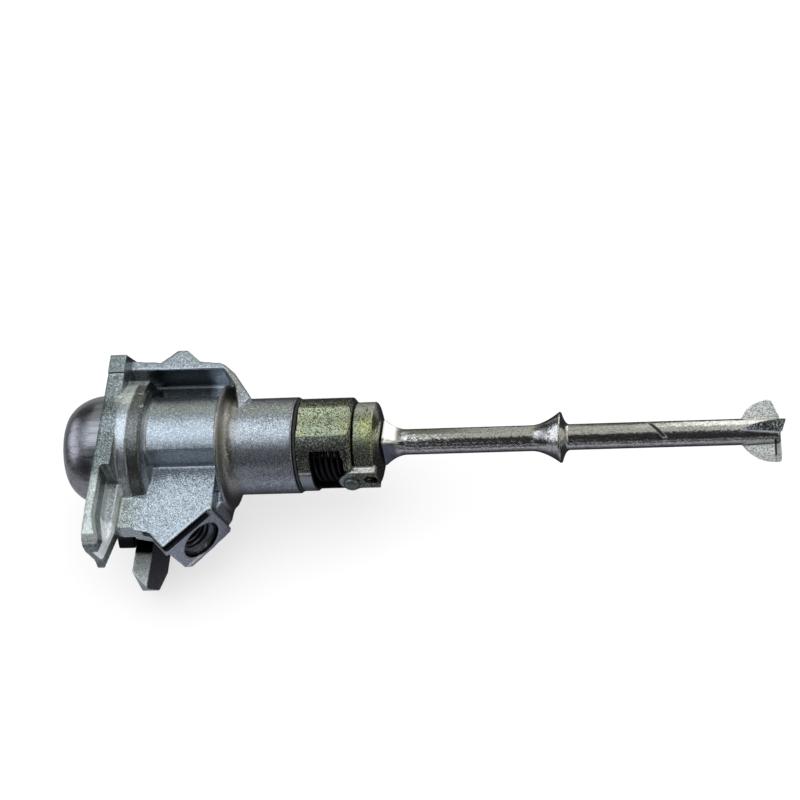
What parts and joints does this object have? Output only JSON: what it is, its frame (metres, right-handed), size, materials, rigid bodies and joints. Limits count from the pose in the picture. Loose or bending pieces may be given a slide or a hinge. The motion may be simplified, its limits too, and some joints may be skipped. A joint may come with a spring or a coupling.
{
  "type": "door lock cylinder",
  "caption": "Door lock cylinder in a cast body with flange, web, screw boss and rail, and a rear driver that turns a long rod with a winged end.",
  "frame": {"origin": "on the lock's axis, at the rear face of the flange", "axes": "+X along the lock's axis towards the rod's winged end, +Z square to the web plate, +Y away from the screw boss towards the rail"},
  "size_m": [0.1752, 0.0571, 0.0408],
  "materials": {
    "satin_zinc": "satin, sparkling die casting with a cool blue-grey passivation",
    "dark_brushed": "dark steel brushed along the axis",
    "chromated": "olive to golden chromate over a grained metal",
    "bright_rod": "bright plated, finely speckled",
    "wafer_brass": "bare brass",
    "spring_steel": "dark oiled spring steel",
    "black_rubber": "matte black"
  },
  "bodies": {
    "housing": {"housing": "satin_zinc", "face_cap": "dark_brushed", "cap_gasket": "black_rubber", "seam_ring": "black_rubber", "thrust_washer": "wafer_brass"},
    "rotor": {"plug": "satin_zinc", "slip_sleeve": "chromated", "tail_clip": "spring_steel", "shutter_pin": "bright_rod", "shutter_spring": "spring_steel", "wafer_spring_1": "spring_steel", "wafer_spring_2": "spring_steel", "wafer_spring_3": "spring_steel", "wafer_spring_4": "spring_steel", "wafer_spring_5": "spring_steel", "wafer_spring_6": "spring_steel", "wafer_spring_7": "spring_steel", "wafer_spring_8": "spring_steel"},
    "shutter": {"shutter": "bright_rod"},
    "driver": {"driver_sleeve": "chromated", "cam": "chromated", "cross_pin": "spring_steel", "rod": "bright_rod", "return_spring": "spring_steel"},
    "wafer_1": {"wafer_1": "wafer_brass"},
    "wafer_2": {"wafer_2": "wafer_brass"},
    "wafer_3": {"wafer_3": "wafer_brass"},
    "wafer_4": {"wafer_4": "wafer_brass"},
    "wafer_5": {"wafer_5": "wafer_brass"},
    "wafer_6": {"wafer_6": "wafer_brass"},
    "wafer_7": {"wafer_7": "wafer_brass"},
    "wafer_8": {"wafer_8": "wafer_brass"}
  },
  "joints": [
    {"name": "lock_turn", "type": "hinge", "parent": "housing", "child": "rotor", "pos_m": [0, 0, 0], "axis": [1, 0, 0], "range_deg": [-80, 80], "stiffness_Nm_per_rad": 0.02},
    {"name": "driver_turn", "type": "hinge", "parent": "housing", "child": "driver", "pos_m": [0.044, 0, 0], "axis": [1, 0, 0], "range_deg": [-80, 80], "stiffness_Nm_per_rad": 0.03, "deforming": ["return_spring"]},
    {"name": "shutter_hinge", "type": "hinge", "parent": "rotor", "child": "shutter", "pos_m": [-0.013, 0.0026, 0], "axis": [0, 0, 1], "range_deg": [0, 75], "stiffness_Nm_per_rad": 0.001, "springref_deg": -28.65, "deforming": ["shutter_spring"]},
    {"name": "wafer_1_slide", "type": "slide", "parent": "rotor", "child": "wafer_1", "axis": [0, 0, -1], "range_m": [0, 0.0008], "stiffness_N_per_m": 60, "springref_m": -0.001, "deforming": ["wafer_spring_1"]},
    {"name": "wafer_2_slide", "type": "slide", "parent": "rotor", "child": "wafer_2", "axis": [0, 0, 1], "range_m": [0, 0.0008], "stiffness_N_per_m": 60, "springref_m": -0.001, "deforming": ["wafer_spring_2"]},
    {"name": "wafer_3_slide", "type": "slide", "parent": "rotor", "child": "wafer_3", "axis": [0, 0, -1], "range_m": [0, 0.0008], "stiffness_N_per_m": 60, "springref_m": -0.001, "deforming": ["wafer_spring_3"]},
    {"name": "wafer_4_slide", "type": "slide", "parent": "rotor", "child": "wafer_4", "axis": [0, 0, 1], "range_m": [0, 0.0008], "stiffness_N_per_m": 60, "springref_m": -0.001, "deforming": ["wafer_spring_4"]},
    {"name": "wafer_5_slide", "type": "slide", "parent": "rotor", "child": "wafer_5", "axis": [0, 0, -1], "range_m": [0, 0.0008], "stiffness_N_per_m": 60, "springref_m": -0.001, "deforming": ["wafer_spring_5"]},
    {"name": "wafer_6_slide", "type": "slide", "parent": "rotor", "child": "wafer_6", "axis": [0, 0, 1], "range_m": [0, 0.0008], "stiffness_N_per_m": 60, "springref_m": -0.001, "deforming": ["wafer_spring_6"]},
    {"name": "wafer_7_slide", "type": "slide", "parent": "rotor", "child": "wafer_7", "axis": [0, 0, -1], "range_m": [0, 0.0008], "stiffness_N_per_m": 60, "springref_m": -0.001, "deforming": ["wafer_spring_7"]},
    {"name": "wafer_8_slide", "type": "slide", "parent": "rotor", "child": "wafer_8", "axis": [0, 0, 1], "range_m": [0, 0.0008], "stiffness_N_per_m": 60, "springref_m": -0.001, "deforming": ["wafer_spring_8"]}
  ],
  "couplings": [
    {"joint": "driver_turn", "follows": "lock_turn", "ratio": 1}
  ]
}
